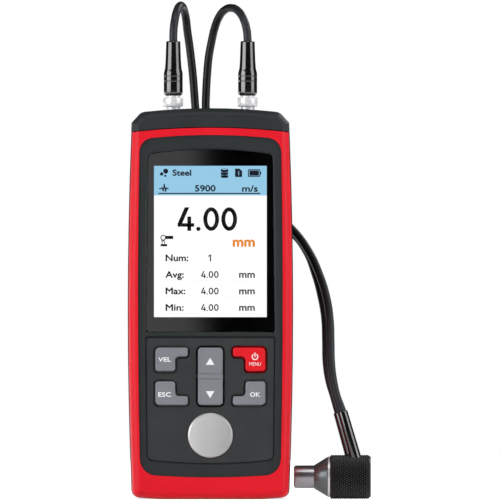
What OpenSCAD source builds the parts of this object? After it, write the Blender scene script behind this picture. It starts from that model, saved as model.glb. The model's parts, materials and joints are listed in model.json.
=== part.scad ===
// Hand-held ultrasonic thickness gauge with its twin-lead probe
// Millimetres: the case stands on its flat end at z = 0, the keys face -y, x runs to the right

/* [Case] */
// Width of the case at its widest
case_w = 63; // [62:0.1:68]
// Height from the flat end to the top of the end cap
case_h = 149.4; // [146:0.1:156]
// Depth from front to back
case_d = 30; // [29:0.5:34]
// How far the sides bow out between their ends
side_bow = 1.4; // [0.6:0.1:2]
// Radius of the two bottom corners
corner_r = 3; // [2.2:0.1:4]
// Depth of the end cap below the top of the case, at its sides
cap_drop = 9.2; // [8:0.1:11]
// Rise of the curved seam between end cap and case
seam_rise = 2.2; // [1:0.1:3]
// Thickness of the case walls
wall = 2; // [1.6:0.1:2.2]
// Thickness of the red bumper along the sides
bumper_t = 2.5; // [2:0.1:2.8]

/* [Front] */
// Depth of the dark bezel behind the front of the bumper
bezel_depth = 0.6; // [0.3:0.1:0.8]
// Depth of the window and the key panel behind the bezel
recess = 0.7; // [0.5:0.1:0.8]
// Width of the picture on the display
screen_w = 43.2; // [40:0.1:44]
// Height of the picture on the display
screen_h = 57.6; // [54:0.1:58.5]
// How far the keys stand out of their panel
key_height = 1; // [0.6:0.1:1.4]
// Gap around each key
key_gap = 0.7; // [0.45:0.05:0.7]
// Travel of a key
key_travel = 0.7; // [0.3:0.1:0.7]
// Diameter of the calibration disc
disc_d = 17.2; // [14:0.1:17.5]
// Thickness of the calibration disc
disc_t = 4; // [3:0.1:4]

/* [Batteries] */
// Diameter of a cell
cell_d = 14.3; // [13.5:0.1:14.5]
// Length of a cell with its nub
cell_l = 50.5; // [49:0.1:51]

/* [Leads] */
// Distance of each socket from the middle of the case
socket_x = 14.2; // [13:0.1:15]
// Diameter of the plug where it enters the socket
plug_d = 5.2; // [4.6:0.1:5.6]
// Diameter of the chrome release sleeve on the plug
sleeve_d = 7.5; // [7:0.1:8]
// Diameter of each lead
cord_d = 3.1; // [2.4:0.1:3.2]

/* [Probe] */
// Diameter of the knurled probe cap
probe_d = 16.9; // [15.5:0.1:17.2]
// Length of the knurled probe cap
probe_cap_l = 15.5; // [14:0.1:18]
// Diameter of the probe tip
tip_d = 8.8; // [8.6:0.1:9.6]
// Length of the probe tip
tip_l = 7.4; // [5:0.1:8]

/* [Hidden] */
half_w = case_w / 2;
end_w = half_w - side_bow;
front_y = -case_d / 2;
back_y = case_d / 2;
parting_y = -1;
bezel_y = front_y + bezel_depth;
panel_y = bezel_y + recess;
panel_t = 1.6;
floor_y = panel_y + panel_t;
plate_t = 1;
plate_y = floor_y + plate_t;
bumper_step = 0.35;
bumper_front_t = 3.4;
flange_y = front_y + bumper_front_t;
seam_z = case_h - cap_drop;
shoulder_z = case_h - 5.8;
top_corner_z = case_h - 1.7;
top_corner_x = half_w - 5.1;
foot_w = 19;
mid_z = 72;
least_r = 0.2;
arc_step = 15;
eps = 0.01;

rim_t = 0.8;
board_y = plate_y + rim_t + key_travel + 1;
board_t = 1.6;
key_front_y = panel_y - key_height;
key_mid_z = 46.9;
key_hub = [17, 56];
rocker_pin_y = plate_y + 0.5;
disc_z = 24.4;
screen_z = 98.5;

door_w = 48.8;
door_z0 = 12.2;
door_t = 1.8;
hinge_r = door_t / 2;
hinge_y = back_y - hinge_r;
hinge_z = 69;
bay_z0 = 12.7;
bay_z1 = 68.3;
cell_pitch = cell_d + 0.4;
cell_y = back_y - door_t - 0.5 - cell_d / 2;
bay_y = cell_y - cell_d / 2 - 0.3;
bay_w = 2 * cell_pitch + cell_d + 0.6;

socket_top = case_h - 1.3;
pocket_z = socket_top - 1.2;
cap_wall = 1.6;
sleeve_z0 = case_h + 0.45;
sleeve_z1 = sleeve_z0 + 3.5;
boot_z = sleeve_z1 + 0.65;
boot_top = boot_z + 20.9;

probe_z = probe_d / 2;
shoe_x = 31.8;
tip_x = shoe_x + 0.35;
cone_x = tip_x + tip_l;
ring_x = cone_x + 5.3;
cap_x = ring_x + 0.9;
cap_end_x = cap_x + probe_cap_l;
relief_top = [49.6, 0, 33.3];
relief_low = [54.2, 0, 17.2];
relief_tilt = atan2(relief_low.x - relief_top.x, relief_top.z - relief_low.z);
relief_l = norm(relief_top - relief_low);
strand_gap = 1.5;
strand_shift = 0.75;

case_screw_at = [[-23.5, 8.2], [23.5, 8.2], [-24, 134.5], [24, 134.5]];
board_screw_at = [[-23.5, 18], [23.5, 18], [-24.6, 60.2], [24.6, 60.2], [-16, 135.5], [16, 135.5]];
cell_x = [-cell_pitch, 0, cell_pitch];
cell_up = [1, -1, 1];

// Route of the left lead, from its plug over the top, down behind the case and round to the probe
left_route = [
    [-14.2, 0, 169], [-14.2, 0, 174.8], [-14.1, 0.5, 179], [-13.6, 1.9, 183.1], [-12.8, 5, 186.6],
    [-11.8, 8.9, 188.4], [-10.9, 13.2, 188.4], [-10.1, 17.1, 186.7], [-9.4, 20.2, 183.5], [-8.9, 21.8, 179.1],
    [-8.1, 22.4, 173.5], [-7.3, 22.3, 167], [-6.6, 21.8, 160], [-6, 21, 152], [-5.2, 20.4, 143],
    [-3.4, 20.1, 135], [-0.2, 20, 127], [5, 20, 119.4], [12, 20.1, 112.6], [20.4, 20.2, 107.2],
    [31.2, 20.3, 101.6], [36.6, 18.2, 94.8], [40.1, 15.4, 86], [42.5, 12.4, 77], [43.9, 9.3, 68.5],
    [44.2, 6.7, 60.5], [44.4, 4.5, 52], [45.4, 2.9, 45.2], [47.1, 1.9, 39.4], [48.7, 1.5, 33.7],
    [50.8, 1.5, 26.5]
];
// Route of the right lead, which lies in front of the left one from the back of the case to the probe
right_route = [
    [14.2, 0, 169], [14.2, 0, 174.8], [13.8, 0.7, 179.4], [12.6, 2.9, 183.4], [10.5, 6.7, 186.5],
    [7.9, 10.9, 187.7], [5.3, 15, 186.8], [3.1, 18.7, 184], [1.5, 21.2, 179.8], [0.4, 22.5, 175],
    [-0.7, 22.8, 169], [-1.3, 22.6, 162.5], [-1.7, 22.1, 155.5], [-1.8, 21.4, 148.5], [-0.9, 20.4, 140],
    [1.4, 19.4, 132.5], [5.4, 18.6, 125.6], [10.9, 18, 119.4], [17.4, 17.5, 113.9], [24.7, 17.2, 108.7],
    [32, 16.8, 102.2], [37.4, 14.9, 94.8], [41.5, 12.3, 86], [44.3, 9.5, 77], [45.6, 6.4, 68.5],
    [45.9, 3.8, 60.5], [46.1, 1.5, 52], [46.9, -0.1, 45.2], [48.2, -1.2, 39.4], [50.1, -1.5, 34.2],
    [52.2, -1.5, 27]
];
// Route of the inner lead from the left socket to the board
inner_route = [
    [0, 0, 137.35], [0, 0, 135.5], [0, -0.7, 132.6], [0, -2.2, 130.2], [0, -4.2, 129], [0, -5.6, 128.8],
    [0, -6.95, 128.8]
];

function unit(v) = v / norm(v);
// Radius of a bowed edge, half its length and its rise being known
function bow_r(half, rise) = 0.92 * half * half / (2 * rise);

// Points that round corner b of an outline, between corners a and c, moved inward by inset
function corner_points(a, b, c, inset) =
    let (
        u = unit([a.x - b.x, a.y - b.y]),
        v = unit([c.x - b.x, c.y - b.y]),
        side = cross(-u, v) > 0 ? 1 : -1,
        half = acos(u * v) / 2,
        w = unit(u + v),
        r = max(least_r, b[2] - side * inset),
        centre = [b.x, b.y] + w * (r + side * inset) / sin(half),
        first = -unit(w - (w * u) * u),
        start = atan2(first.y, first.x),
        sweep = side * (180 - 2 * half),
        steps = max(b[2] > 20 ? 8 : 3, ceil(abs(sweep) / arc_step))
    )
    [for (i = [0:steps]) centre + r * [cos(start + sweep * i / steps), sin(start + sweep * i / steps)]];

// Outline seen from the front, through corners given as x, z and radius
function outline(corners, inset = 0) =
    let (n = len(corners))
    [for (i = [0:n - 1])
        each corner_points(corners[(i + n - 1) % n], corners[i], corners[(i + 1) % n], inset)];

function mirrored(corners) = [for (i = [len(corners) - 1:-1:0]) [-corners[i].x, corners[i].y, corners[i][2]]];
function flipped(corners) =
    [for (i = [len(corners) - 1:-1:0]) [corners[i].x, 2 * key_mid_z - corners[i].y, corners[i][2]]];

// Outline of the whole case; step narrows its sides
function case_corners(step = 0) = [
    [-foot_w, 0, 60],
    [foot_w, 0, 60],
    [end_w - step, 0.7, corner_r],
    [end_w + 2 * side_bow - step, mid_z, bow_r(mid_z, side_bow)],
    [end_w - step, shoulder_z, 1.2],
    [top_corner_x, top_corner_z, 3.5],
    [0, top_corner_z + 2.8, bow_r(top_corner_x, 1.4)],
    [-top_corner_x, top_corner_z, 3.5],
    [-end_w + step, shoulder_z, 1.2],
    [-end_w - 2 * side_bow + step, mid_z, bow_r(mid_z, side_bow)],
    [-end_w + step, 0.7, corner_r]
];
// Everything below the curved seam of the end cap
seam_corners = [
    [-40, -5, least_r],
    [40, -5, least_r],
    [40, seam_z - 0.28 * seam_rise * 2, least_r],
    [0, seam_z + 2 * seam_rise, bow_r(40, 1.28 * seam_rise)],
    [-40, seam_z - 0.28 * seam_rise * 2, least_r]
];
bezel_corners = [
    [-26.8, 9.4, 6.4],
    [0, 7.9, bow_r(26.8, 0.75) * 0.7],
    [26.8, 9.4, 6.4],
    [28.1, mid_z, bow_r(60, 0.62)],
    [27, seam_z - 2.7, 5.5],
    [0, seam_z - 0.5, bow_r(27, 1.1) * 0.72],
    [-27, seam_z - 2.7, 5.5],
    [-28.1, mid_z, bow_r(60, 0.62)]
];
window_corners = [
    [-24.6, 63.8, 0.8],
    [24.6, 63.8, 0.8],
    [23.8, seam_z - 8.5, 2.4],
    [0, seam_z - 5.3, bow_r(23.8, 1.6) * 0.88],
    [-23.8, seam_z - 8.5, 2.4]
];
panel_corners = [
    [-24.2, 15, 2.4],
    [0, 12.6, bow_r(24.2, 1.2) * 0.88],
    [24.2, 15, 2.4],
    [24.6, 61.8, 0.8],
    [-24.6, 61.8, 0.8]
];
// Upper right key: a square body with an arm that reaches in along its top
menu_corners = [
    [13.4, 48.8, 1.1],
    [21, 48.8, 1.2],
    [21, 57.9, 1.6],
    [8.6, 57.9, 1],
    [8.6, 54.4, 1],
    [13.4, 54.4, 1.4]
];
vel_corners = mirrored(menu_corners);
ok_corners = flipped(menu_corners);
esc_corners = mirrored(ok_corners);
rocker_corners = [[-4.75, 35.9, 1.4], [4.75, 35.9, 1.4], [4.75, 57.9, 1.4], [-4.75, 57.9, 1.4]];

// Rounded edge as depth and inset: a wide, b deep, from the face at y going back in direction d
function rounded_edge(y, a, b, d, steps) =
    [for (i = [0:steps]) [y + d * b * (1 - cos(90 * i / steps)), a * (1 - sin(90 * i / steps))]];
function reversed(list) = [for (i = [len(list) - 1:-1:0]) list[i]];

// Solid through one outline at several depths, each with its own inset, front to back
// The end faces fan out from the point given as hub
module loft(corners, levels, hub) {
    n = len(outline(corners));
    m = len(levels);
    rings = [for (l = levels) for (p = outline(corners, l[1])) [p.x, l[0], p.y]];
    points = concat(rings, [[hub.x, levels[0][0], hub.y], [hub.x, levels[m - 1][0], hub.y]]);
    sides = [for (k = [0:m - 2]) for (i = [0:n - 1]) for (h = [0:1])
        h == 0
            ? [k * n + i, k * n + (i + 1) % n, (k + 1) * n + (i + 1) % n]
            : [k * n + i, (k + 1) * n + (i + 1) % n, (k + 1) * n + i]];
    front = [for (i = [0:n - 1]) [m * n, (i + 1) % n, i]];
    back = [for (i = [0:n - 1]) [m * n + 1, (m - 1) * n + i, (m - 1) * n + (i + 1) % n]];
    polyhedron(points, concat(front, back, sides));
}

// Straight solid of one outline between two depths
module prism(corners, y0, y1, inset = 0) {
    translate([0, y1, 0])
        rotate([90, 0, 0])
            linear_extrude(y1 - y0)
                polygon(outline(corners, inset));
}

// Round tube swept along a route
module tube(route, r, sides, across) {
    n = len(route);
    ways = [for (i = [0:n - 1]) unit(route[min(i + 1, n - 1)] - route[max(i - 1, 0)])];
    points = [for (i = [0:n - 1])
        let (s = unit(cross(ways[i], across)), t = cross(s, ways[i]))
        for (k = [0:sides - 1])
            route[i] + r * (cos(360 * k / sides) * s + sin(360 * k / sides) * t)];
    skin = [for (i = [0:n - 2]) for (k = [0:sides - 1]) for (h = [0:1])
        h == 0
            ? [i * sides + k, (i + 1) * sides + k, i * sides + (k + 1) % sides]
            : [(i + 1) * sides + k, (i + 1) * sides + (k + 1) % sides, i * sides + (k + 1) % sides]];
    first = [for (k = [0:sides - 1]) k];
    last = [for (k = [sides - 1:-1:0]) (n - 1) * sides + k];
    polyhedron(points, concat([first, last], skin));
}

module box(low, high) {
    translate(low)
        cube(high - low);
}

// Cylinder along y from y0 to y1
module rod_y(x, z, r, y0, y1) {
    translate([x, y1, z])
        rotate([90, 0, 0])
            cylinder(r = r, h = y1 - y0, $fn = 48);
}

// Cylinder along x from x0 to x1
module rod_x(y, z, r, x0, x1) {
    translate([x0, y, z])
        rotate([0, 90, 0])
            cylinder(r = r, h = x1 - x0, $fn = 48);
}

// Solid turned about the probe axis; profile points are distance along x and radius
module turned_x(profile) {
    translate([0, 0, probe_z])
        rotate([0, 90, 0])
            rotate_extrude($fn = 64)
                polygon([for (p = profile) [p[1], p[0]]]);
}

module below_seam(drop = 0) {
    translate([0, 0, -drop])
        prism(seam_corners, front_y - 5, back_y + 5);
}

module front_bumper() {
    color([0.85, 0.1, 0.14])
        difference() {
            intersection() {
                loft(case_corners(bumper_step), concat(
                    rounded_edge(front_y, 3.4, 4.4, 1, 6),
                    [[parting_y, 0]]), [0, mid_z]);
                below_seam(0.3);
            }
            prism(bezel_corners, front_y - 1, flange_y + eps);
            prism(case_corners(bumper_step), flange_y, parting_y + 1, bumper_t);
        }
}

module front_case() {
    color([0.2, 0.21, 0.22])
        difference() {
            union() {
                prism(bezel_corners, bezel_y, flange_y + eps);
                difference() {
                    intersection() {
                        prism(case_corners(bumper_step), flange_y, parting_y, bumper_t);
                        below_seam();
                    }
                    prism(case_corners(bumper_step), plate_y, parting_y + 1, bumper_t + wall);
                }
                for (p = case_screw_at)
                    rod_y(p[0], p[1], 3, plate_y - eps, parting_y);
                for (p = board_screw_at)
                    rod_y(p[0], p[1], 1.9, plate_y - eps, board_y);
                for (s = [-1, 1])
                    box([s * 6.6 - 0.7, plate_y - eps, key_mid_z - 1.8],
                        [s * 6.6 + 0.7, rocker_pin_y + 1, key_mid_z + 1.8]);
                rod_y(0, disc_z, disc_d / 2 + 1.1, plate_y - eps, panel_y - 0.6 + disc_t + 0.9);
            }
            loft(window_corners, [[bezel_y - 0.2, -0.8], [panel_y, -0.1], [floor_y, -0.1]], [0, screen_z]);
            loft(panel_corners, [[bezel_y - 0.2, -0.8], [panel_y, -0.1], [floor_y, -0.1]], [0, key_mid_z]);
            box([-screen_w / 2 - 0.6, floor_y - 1, screen_z - screen_h / 2 - 0.6],
                [screen_w / 2 + 0.6, plate_y + 1, screen_z + screen_h / 2 + 0.6]);
            for (k = [menu_corners, vel_corners, ok_corners, esc_corners, rocker_corners])
                prism(k, floor_y - 1, plate_y + 1, -key_gap);
            rod_x(rocker_pin_y, key_mid_z, 0.85, -8, 8);
            rod_y(0, disc_z, disc_d / 2 + 0.1, panel_y - 1, panel_y - 0.6 + disc_t);
            for (p = case_screw_at)
                rod_y(p[0], p[1], 1.3, -9, parting_y + 1);
            for (p = board_screw_at)
                rod_y(p[0], p[1], 0.85, plate_y - 0.4, board_y + 1);
        }
}

module rear_case() {
    color([0.22, 0.23, 0.24])
        difference() {
            union() {
                difference() {
                    intersection() {
                        loft(case_corners(), concat(
                            [[parting_y, 0]],
                            reversed(rounded_edge(back_y, 4, 4, -1, 6))), [0, mid_z]);
                        below_seam();
                    }
                    prism(case_corners(), parting_y - 1, back_y - wall, wall);
                }
                box([-bay_w / 2 - 1.2, bay_y - 1.2, bay_z0 - 1.6],
                    [bay_w / 2 + 1.2, back_y - 1.2, bay_z1 + 1.8]);
                box([-door_w / 2 - 1.8, back_y - 4.4, door_z0 - 1.6],
                    [door_w / 2 + 1.8, back_y - 1.1, hinge_z + 3]);
                for (p = case_screw_at)
                    rod_y(p[0], p[1], 3.6, parting_y, back_y - 1.4);
            }
            box([-bay_w / 2, bay_y, bay_z0], [bay_w / 2, back_y + 1, bay_z1]);
            box([-door_w / 2 - 0.2, back_y - door_t - 0.2, door_z0 - 0.2],
                [door_w / 2 + 0.2, back_y + 1, hinge_z]);
            rod_x(hinge_y, hinge_z, hinge_r + 0.07, -door_w / 2 - 0.5, door_w / 2 + 0.5);
            translate([0, hinge_y, hinge_z])
                rotate([58, 0, 0])
                    box([-door_w / 2 - 0.35, 0, -4], [door_w / 2 + 0.35, 4, 0]);
            rod_y(0, door_z0 - 0.6, 5, back_y - 1.25, back_y + 1);
            for (p = case_screw_at) {
                rod_y(p[0], p[1], 1.35, parting_y - 1, back_y);
                rod_y(p[0], p[1], 2.8, back_y - 3.5, back_y + 1);
            }
        }
}

module top_cap() {
    color([0.21, 0.22, 0.23])
        difference() {
            union() {
                difference() {
                    loft(case_corners(), concat(
                        rounded_edge(front_y, 3.4, 4.4, 1, 6),
                        reversed(rounded_edge(back_y, 4, 4, -1, 6))), [0, mid_z]);
                    below_seam();
                    box([-26, front_y + 3.4, seam_z - 5], [26, back_y - 3, pocket_z - cap_wall]);
                }
                difference() {
                    box([-21, -6, seam_z - 1.8], [21, 11, pocket_z - cap_wall + eps]);
                    box([-19.6, -4.6, seam_z - 3], [19.6, 9.6, pocket_z - cap_wall + 1]);
                }
            }
            for (s = [-1, 1])
                translate([s * socket_x, 0, 0]) {
                    translate([0, 0, pocket_z])
                        cylinder(d = 9, h = 10, $fn = 48);
                    translate([0, 0, pocket_z - 5])
                        cylinder(d = 7, h = 10, $fn = 48);
                }
        }
}

module battery_door() {
    color([0.23, 0.24, 0.25])
        difference() {
            union() {
                box([-door_w / 2, back_y - door_t, door_z0], [door_w / 2, back_y, hinge_z]);
                rod_x(hinge_y, hinge_z, hinge_r, -door_w / 2, door_w / 2);
            }
            for (i = [0:4])
                box([-9, back_y - 0.5, door_z0 + 4 + 2.2 * i], [9, back_y + 1, door_z0 + 5 + 2.2 * i]);
        }
}

module display_window() {
    color([0.05, 0.05, 0.06])
        prism(window_corners, panel_y, floor_y);
}

module lcd_panel() {
    color([0.75, 0.78, 0.8])
        box([-25, plate_y, 62.5], [25, board_y - 0.1, 130.1]);
}

module key_panel() {
    color([0.26, 0.26, 0.27])
        difference() {
            loft(panel_corners, [[panel_y, 0.3], [panel_y + 0.3, 0], [floor_y, 0]], [0, key_mid_z]);
            for (k = [menu_corners, vel_corners, ok_corners, esc_corners, rocker_corners])
                prism(k, panel_y - 1, floor_y + 1, -key_gap);
            rod_y(0, disc_z, disc_d / 2 + 0.1, panel_y - 1, floor_y + 1);
        }
}

// A key: its top with a softened edge, and a rim that holds it behind the plate
module key(corners, hub) {
    loft(corners, concat(
        rounded_edge(key_front_y, 0.6, 0.8, 1, 4),
        [[plate_y + 0.1 + rim_t, 0]]), hub);
    prism(corners, plate_y + 0.05, plate_y + 0.05 + rim_t, -1.1);
}

module vel_key() {
    color([0.5, 0.52, 0.54])
        key(vel_corners, [-key_hub.x, key_hub.y]);
}

module esc_key() {
    color([0.5, 0.52, 0.54])
        key(esc_corners, [-key_hub.x, 2 * key_mid_z - key_hub.y]);
}

module menu_key() {
    color([0.88, 0.1, 0.13])
        key(menu_corners, key_hub);
}

module ok_key() {
    color([0.5, 0.52, 0.54])
        key(ok_corners, [key_hub.x, 2 * key_mid_z - key_hub.y]);
}

module rocker_key() {
    color([0.5, 0.52, 0.54])
        difference() {
            union() {
                loft(rocker_corners, concat(
                    rounded_edge(key_front_y, 0.6, 0.8, 1, 4),
                    [[rocker_pin_y + 0.4, 0]]), [0, key_mid_z]);
                rod_x(rocker_pin_y, key_mid_z, 0.8, -7.2, 7.2);
            }
            for (s = [-1, 1])
                box([-5.2, key_front_y - 1, key_mid_z + s * 0.95 - 0.15],
                    [5.2, key_front_y + 0.3, key_mid_z + s * 0.95 + 0.15]);
        }
}

module calibration_disc() {
    color([0.75, 0.76, 0.77])
        translate([0, panel_y - 0.6, disc_z])
            rotate([-90, 0, 0])
                rotate_extrude($fn = 64)
                    polygon([[0, 0], [disc_d / 2 - 0.5, 0], [disc_d / 2, 0.5], [disc_d / 2, disc_t],
                        [0, disc_t]]);
}

module keypad_mat() {
    color([0.35, 0.36, 0.37]) {
        box([-22.3, board_y - 0.35, 34], [22.3, board_y, 59]);
        for (s = [-1, 1])
            for (z = [40.4, 53.4]) {
                rod_y(s * 17, z, 2.5, board_y - 0.8, board_y - 0.3);
                rod_y(0, z, 2.5, board_y - 0.8, board_y - 0.3);
            }
    }
}

module main_board() {
    color([0.1, 0.4, 0.22])
        difference() {
            union() {
                box([-25.5, board_y, 14], [25.5, board_y + board_t, 129]);
                box([-19, board_y, 128], [19, board_y + board_t, 137.5]);
                box([-8, board_y + board_t - eps, 84], [8, board_y + board_t + 1.6, 100]);
                box([-17, board_y + board_t - eps, 106], [-9, board_y + board_t + 1.4, 114]);
                box([9, board_y + board_t - eps, 106], [17, board_y + board_t + 1.4, 114]);
            }
            for (p = board_screw_at)
                rod_y(p[0], p[1], 1.1, board_y - 1, board_y + board_t + 1);
        }
}

module board_screws() {
    color([0.7, 0.7, 0.72])
        for (p = board_screw_at) {
            rod_y(p[0], p[1], 0.8, plate_y, board_y + board_t + 0.5);
            rod_y(p[0], p[1], 1.7, board_y + board_t, board_y + board_t + 1);
        }
}

module case_screws() {
    color([0.6, 0.6, 0.62])
        for (p = case_screw_at) {
            rod_y(p[0], p[1], 1.2, -8, back_y - 3.4);
            rod_y(p[0], p[1], 2.5, back_y - 3.5, back_y - 1.7);
        }
}

module cell(i) {
    base = cell_up[i] > 0 ? bay_z0 + 4.6 : bay_z1 - 4.6;
    color([0.25, 0.3, 0.36])
        translate([cell_x[i], cell_y, base])
            scale([1, 1, cell_up[i]])
                rotate_extrude($fn = 48)
                    polygon([[0, 0], [cell_d / 2 - 0.5, 0], [cell_d / 2, 0.5], [cell_d / 2, cell_l - 1.8],
                        [cell_d / 2 - 0.5, cell_l - 1.3], [2.7, cell_l - 1.3], [2.7, cell_l], [0, cell_l]]);
}

module battery_1() {
    cell(0);
}

module battery_2() {
    cell(1);
}

module battery_3() {
    cell(2);
}

// Coil of the spring under a cell, from its foot at z = 0
function coil(height, turns, r0, r1) =
    [for (i = [0:12 * turns]) let (t = i / (12 * turns))
        [(r0 + (r1 - r0) * t) * cos(30 * i), (r0 + (r1 - r0) * t) * sin(30 * i), 0.4 + (height - 0.8) * t]];

module battery_springs() {
    color([0.8, 0.8, 0.78])
        for (i = [0:2])
            translate([cell_x[i], cell_y, cell_up[i] > 0 ? bay_z0 + 0.4 : bay_z1 - 0.4])
                scale([1, 1, cell_up[i]])
                    tube(coil(4.15, 3, 4.5, 2.8), 0.35, 6, [0, 0, 1]);
}

module battery_plates() {
    color([0.8, 0.8, 0.78])
        for (i = [0:2]) {
            box([cell_x[i] - 5.4, cell_y - 5.4, bay_z0], [cell_x[i] + 5.4, cell_y + 5.4, bay_z0 + 0.4]);
            box([cell_x[i] - 5.4, cell_y - 5.4, bay_z1 - 0.4], [cell_x[i] + 5.4, cell_y + 5.4, bay_z1]);
        }
}

// Socket in the end cap: flange, threaded barrel and the bore for the plug
module socket() {
    color([0.8, 0.8, 0.82])
        rotate_extrude($fn = 48)
            polygon([[0, 137.4], [3.4, 137.4], [3.4, pocket_z], [4.2, pocket_z], [4.2, socket_top - 0.3],
                [3.9, socket_top], [plug_d / 2 + 0.06, socket_top], [plug_d / 2 + 0.06, 139.6], [0, 139.6]]);
}

module socket_left() {
    translate([-socket_x, 0, 0])
        socket();
}

module socket_right() {
    translate([socket_x, 0, 0])
        socket();
}

module socket_nut() {
    color([0.78, 0.7, 0.45])
        translate([0, 0, pocket_z - cap_wall - 2.4])
            difference() {
                cylinder(d = 10, h = 2.4, $fn = 6);
                translate([0, 0, -1])
                    cylinder(r = 3.4, h = 5, $fn = 48);
            }
}

module socket_nut_left() {
    translate([-socket_x, 0, 0])
        socket_nut();
}

module socket_nut_right() {
    translate([socket_x, 0, 0])
        socket_nut();
}

module lead_left() {
    color([0.15, 0.15, 0.15])
        translate([-socket_x, 0, 0])
            tube(inner_route, 0.9, 8, [1, 0, 0]);
}

module lead_right() {
    color([0.15, 0.15, 0.15])
        translate([socket_x, 0, 0])
            tube(inner_route, 0.9, 8, [1, 0, 0]);
}

// Plug: the nose in the socket and the spigot that carries the boot
module plug() {
    color([0.8, 0.81, 0.83])
        rotate_extrude($fn = 48)
            polygon([[0, 139.8], [plug_d / 2 - 0.3, 139.8], [plug_d / 2, 140.1], [plug_d / 2, boot_z],
                [2.3, boot_z], [2.3, boot_z + 4.3], [0, boot_z + 4.3]]);
}

module plug_left() {
    translate([-socket_x, 0, 0])
        plug();
}

module plug_right() {
    translate([socket_x, 0, 0])
        plug();
}

module release_sleeve() {
    r = sleeve_d / 2;
    color([0.85, 0.86, 0.88])
        rotate_extrude($fn = 48)
            polygon([[plug_d / 2 + 0.05, sleeve_z0], [r - 0.3, sleeve_z0], [r, sleeve_z0 + 0.3],
                [r, sleeve_z1 - 0.3], [r - 0.3, sleeve_z1], [plug_d / 2 + 0.05, sleeve_z1]]);
}

module release_sleeve_left() {
    translate([-socket_x, 0, 0])
        release_sleeve();
}

module release_sleeve_right() {
    translate([socket_x, 0, 0])
        release_sleeve();
}

// Moulded boot: a thick grip with two ring grooves and a slim neck round the lead
module plug_boot() {
    bore = cord_d / 2 + 0.05;
    color([0.08, 0.08, 0.09])
        translate([0, 0, boot_z])
            rotate_extrude($fn = 48)
                polygon(concat(
                    [[2.3, 0]],
                    [for (i = [0:4]) [2.6 + 1.01 * sin(22.5 * i), 1.4 - 1.4 * cos(22.5 * i)]],
                    [[3.61, 5], [3.4, 5.15], [3.4, 5.45], [3.61, 5.6]],
                    [[3.61, 7], [3.45, 7.1], [3.45, 7.4], [3.61, 7.5]],
                    [for (i = [0:8]) [3.35 + 0.26 * cos(22.5 * i), 8.1 + 3.2 * i / 8]],
                    [[2.92, 13.8], [2.7, 20.5], [2.4, 20.9], [bore, 20.9], [bore, 4.3], [2.3, 4.3]]));
}

module plug_boot_left() {
    translate([-socket_x, 0, 0])
        plug_boot();
}

module plug_boot_right() {
    translate([socket_x, 0, 0])
        plug_boot();
}

module cord_left() {
    color([0.07, 0.07, 0.08])
        tube(left_route, cord_d / 2, 8, [1, 0, 0]);
}

module cord_right() {
    color([0.07, 0.07, 0.08])
        tube(right_route, cord_d / 2, 8, [1, 0, 0]);
}

// Place of the sleeve on the probe: z runs up along it from the top of the cap
module on_relief() {
    translate(relief_low)
        rotate([0, -relief_tilt, 0])
            children();
}

// Twin sleeve where the two leads enter the probe, one behind the other and a little to the side
module probe_boot() {
    color([0.06, 0.06, 0.07])
        on_relief()
            difference() {
                for (s = [-1, 1])
                    translate([-s * strand_shift, s * strand_gap, -2.4])
                        cylinder(r1 = 2.25, r2 = 2, h = relief_l + 2.4, $fn = 32);
                for (s = [-1, 1])
                    translate([-s * strand_shift, s * strand_gap, relief_l - 8.5])
                        cylinder(r = cord_d / 2 + 0.05, h = 10, $fn = 32);
            }
}

// Hole in the probe cap for the foot of that sleeve
module relief_hole() {
    on_relief()
        for (s = [-1, 1])
            translate([-s * strand_shift, s * strand_gap, -2.45])
                cylinder(r = 2.3, h = 6, $fn = 32);
}

// Knurled cap that closes the probe
module probe_cap() {
    r = probe_d / 2;
    color([0.12, 0.12, 0.13])
        difference() {
            turned_x([[cap_x, 6.44], [cap_x, r - 0.5], [cap_x + 0.5, r], [cap_end_x - 0.8, r],
                [cap_end_x, r - 0.8], [cap_end_x, 0], [cap_end_x - 2.4, 0], [cap_end_x - 2.4, 6],
                [cap_x + 4.5, 6], [cap_x + 4.5, 6.44]]);
            relief_hole();
        }
}

// Turned steel probe body: tip, cone, bright ring and the spigot inside the cap
module probe_body() {
    t = tip_d / 2;
    color([0.78, 0.79, 0.81])
        turned_x([[tip_x, 3.9], [tip_x, t - 0.2], [tip_x + 0.2, t], [cone_x, t], [ring_x - 0.3, 7.5],
            [ring_x, 7.5], [ring_x, 7.6], [ring_x + 0.15, 7.75], [cap_x - 0.15, 7.75], [cap_x, 7.6],
            [cap_x, 6.4], [cap_x + 4.4, 6.4], [cap_x + 4.4, 3.9]]);
}

// Half of the round tip insert, on the side of the barrier given by s
module half_insert(s, r, x0, x1) {
    intersection() {
        rod_x(0, probe_z, r, x0, x1);
        box([x0 - 1, s > 0 ? 0.3 : -10, 0], [x1 + 1, s > 0 ? 10 : -0.3, 20]);
    }
}

module delay_block_send() {
    color([0.62, 0.6, 0.55])
        half_insert(-1, 3.88, shoe_x, cone_x + 3);
}

module delay_block_receive() {
    color([0.62, 0.6, 0.55])
        half_insert(1, 3.88, shoe_x, cone_x + 3);
}

module acoustic_barrier() {
    color([0.1, 0.1, 0.1])
        box([shoe_x, -0.3, probe_z - 3.8], [cone_x + 4, 0.3, probe_z + 3.8]);
}

module crystal_send() {
    color([0.72, 0.66, 0.5])
        half_insert(-1, 3.6, cone_x + 3, cone_x + 3.5);
}

module crystal_receive() {
    color([0.72, 0.66, 0.5])
        half_insert(1, 3.6, cone_x + 3, cone_x + 3.5);
}

module probe_backing() {
    color([0.3, 0.3, 0.3])
        rod_x(0, probe_z, 3.85, cone_x + 4, cap_x + 6);
}

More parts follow.
